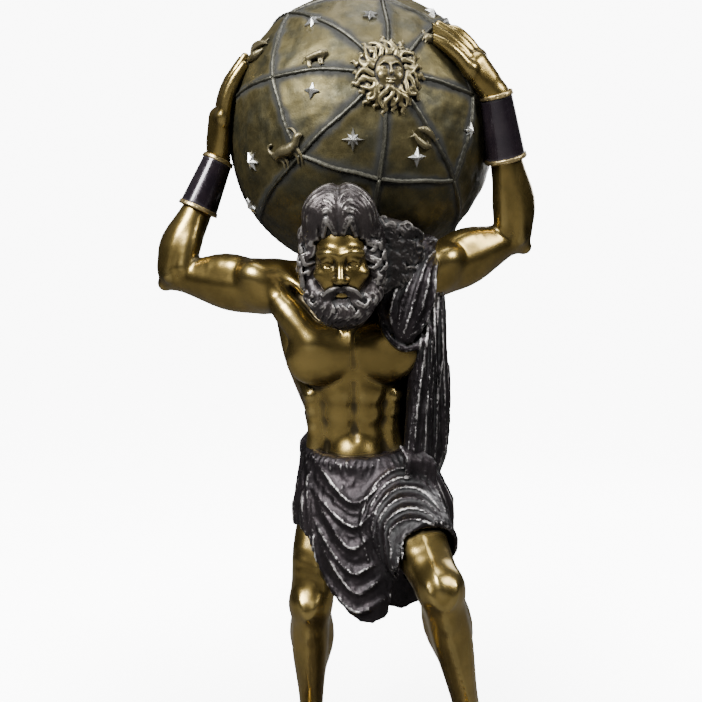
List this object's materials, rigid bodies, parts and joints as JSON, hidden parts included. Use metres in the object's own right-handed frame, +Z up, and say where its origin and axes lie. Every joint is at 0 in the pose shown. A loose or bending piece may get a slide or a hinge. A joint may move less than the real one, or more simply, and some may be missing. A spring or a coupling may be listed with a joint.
{
  "type": "atlas statue",
  "caption": "Table statue of a bearded man in a draped skirt and mantle who stands in a half squat and carries a large star globe on his neck and hands.",
  "frame": {"origin": "middle of the base's flat underside", "axes": "+Z up along the figure, -Y is the figure's front, +X is the figure's left"},
  "size_m": [0.1504, 0.1425, 0.3113],
  "materials": {
    "antique_bronze": "antique gold bronze skin with dark recesses, blackened silver-brushed cloth and hair",
    "globe_bronze": "dark olive bronze with golden panel centres and silver stars",
    "base_bronze": "blackened bronze, dry-brushed"
  },
  "bodies": {
    "root": {"figure": "antique_bronze", "globe": "globe_bronze", "base": "base_bronze"}
  },
  "joints": []
}
